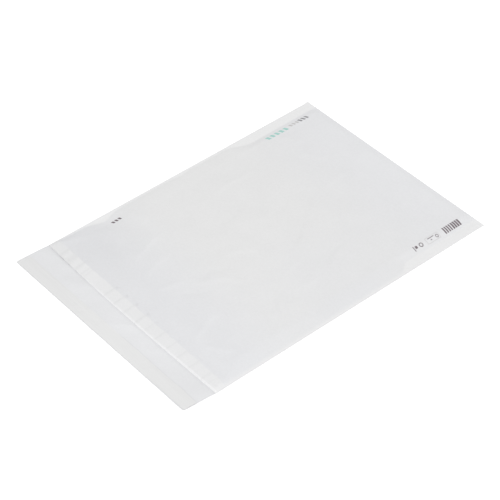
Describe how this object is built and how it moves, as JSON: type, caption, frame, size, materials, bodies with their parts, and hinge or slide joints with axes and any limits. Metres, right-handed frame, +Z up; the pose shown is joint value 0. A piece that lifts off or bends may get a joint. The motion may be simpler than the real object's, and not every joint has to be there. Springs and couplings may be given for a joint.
{
  "type": "bubble mailer",
  "caption": "Flat white paper envelope lined with bubble film, folded at the bottom, glued at the sides, with an open flap, adhesive strip and release liner",
  "frame": {"origin": "middle of the underside: z = 0 is the face it lies on", "axes": "+X across the envelope, +Y from the flap's free edge to the bottom fold, +Z up through the front panel"},
  "size_m": [0.37, 0.534, 0.0053],
  "materials": {
    "paper": "uncoated white kraft",
    "bubble_film": "clear polyethylene film",
    "adhesive": "tacky hot-melt",
    "release_paper": "siliconised, satin"
  },
  "bodies": {
    "root": {"paper_envelope": "paper", "bubble_lining": "bubble_film", "adhesive_strip": "adhesive", "release_liner": "release_paper"}
  },
  "joints": []
}
